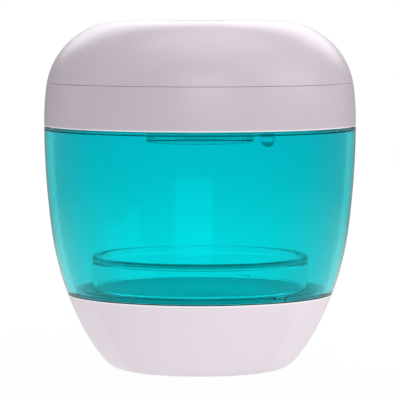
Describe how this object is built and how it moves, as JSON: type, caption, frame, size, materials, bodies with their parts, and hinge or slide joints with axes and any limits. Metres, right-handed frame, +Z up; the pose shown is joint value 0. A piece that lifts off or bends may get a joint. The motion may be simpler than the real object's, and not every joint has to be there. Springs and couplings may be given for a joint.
{
  "type": "pacifier sterilizer case",
  "caption": "Round ultraviolet sterilizer case for a pacifier: lift-off domed lid with a lamp and push button, clear teal window, pale base and a clear stand inside.",
  "frame": {"origin": "centre of the foot ring's underside, on the table", "axes": "+Z up the axis of the round case, -Y towards the front that the picture shows, +X to the right as seen from the front"},
  "size_m": [0.08, 0.08, 0.0895],
  "materials": {
    "lid_plastic": "fine grained, pale lilac",
    "base_plastic": "fine grained, pinkish white",
    "window_plastic": "clear teal, polished",
    "stand_plastic": "clear, polished",
    "lens_glass": "clear, polished",
    "light_plastic": "milky, satin",
    "inner_plastic": "white, satin",
    "floor_plastic": "grey, satin",
    "disc_metal": "satin",
    "reflector_metal": "polished",
    "gasket_rubber": "dark, matte",
    "seal_silicone": "milky silicone",
    "foot_silicone": "pale lilac silicone",
    "screw_steel": "plated",
    "board_laminate": "green solder mask",
    "lamp_board_metal": "white mask over metal",
    "chip_resin": "black resin",
    "diode_ceramic": "cream ceramic",
    "socket_steel": "tinned",
    "cell_foil": "foil pouch",
    "foam": "white foam tape",
    "lead_jacket": "red jacket",
    "button_plastic": "satin, pale"
  },
  "bodies": {
    "container": {"base_cup": "base_plastic", "foot_ring": "foot_silicone", "base_screws": "screw_steel", "base_gasket": "gasket_rubber", "chamber_floor": "floor_plastic", "floor_disc": "disc_metal", "window": "window_plastic"},
    "stand": {"pacifier_stand": "stand_plastic"},
    "lid": {"lid_band": "lid_plastic", "lid_seal": "seal_silicone", "ceiling_plate": "inner_plastic", "ceiling_screws": "screw_steel", "lamp_lens": "lens_glass", "lamp_reflector": "reflector_metal", "lamp_board": "lamp_board_metal", "lamp_screws": "screw_steel", "uv_diodes": "diode_ceramic", "sensor_lens": "lens_glass", "lid_sensor": "chip_resin", "lamp_leads": "lead_jacket", "control_board": "board_laminate", "board_screws": "screw_steel", "board_chips": "chip_resin", "charging_socket": "socket_steel", "battery_pad": "foam", "battery_cell": "cell_foil", "battery_leads": "lead_jacket", "button_board": "board_laminate", "button_board_screws": "screw_steel", "tap_switch": "chip_resin", "status_diodes": "light_plastic", "light_ring": "light_plastic", "top_cover": "lid_plastic"},
    "button": {"power_button": "button_plastic", "switch_plunger": "chip_resin"}
  },
  "joints": [
    {"name": "lid_lift", "type": "slide", "parent": "container", "child": "lid", "axis": [0, 0, 1], "range_m": [0, 0.04]},
    {"name": "stand_lift", "type": "slide", "parent": "container", "child": "stand", "axis": [0, 0, 1], "range_m": [0, 0.026]},
    {"name": "button_press", "type": "slide", "parent": "lid", "child": "button", "axis": [0, 0, -1], "range_m": [0, 0.0006], "stiffness_N_per_m": 900}
  ]
}
